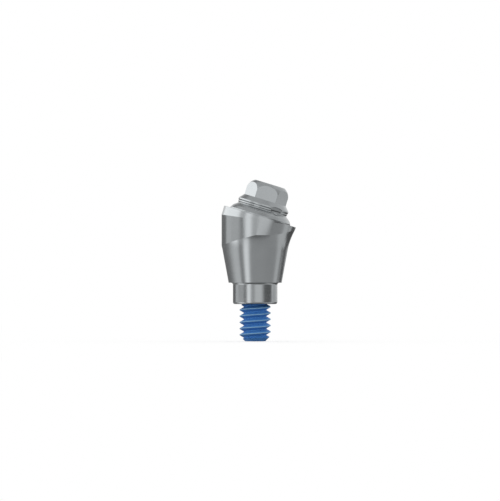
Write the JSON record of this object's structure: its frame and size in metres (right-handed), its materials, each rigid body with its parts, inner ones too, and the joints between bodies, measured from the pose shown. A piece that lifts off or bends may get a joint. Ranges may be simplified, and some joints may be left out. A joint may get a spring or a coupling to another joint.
{
  "type": "angled dental abutment",
  "caption": "Angled screw-retained dental abutment: tapered titanium body with a leaning shoulder, a blue abutment screw and a hexagonal post with a turned neck.",
  "frame": {"origin": "on the implant axis, in the plane where the underside of the taper sits on the implant", "axes": "+Z along the implant axis towards the post, +X towards the low side of the shoulder, where the post leans"},
  "size_m": [0.0048, 0.0048, 0.0104],
  "materials": {
    "titanium": "turned titanium, satin bright",
    "blue_anodised_titanium": "blue anodised titanium",
    "post_titanium": "turned and milled titanium, satin bright"
  },
  "bodies": {
    "abutment": {"abutment_body": "titanium", "hex_post": "post_titanium"},
    "screw": {"abutment_screw": "blue_anodised_titanium"}
  },
  "joints": [
    {"name": "screw_turn", "type": "hinge", "parent": "abutment", "child": "screw", "pos_m": [0, 0, 0], "axis": [0, 0, 1], "continuous": true}
  ]
}
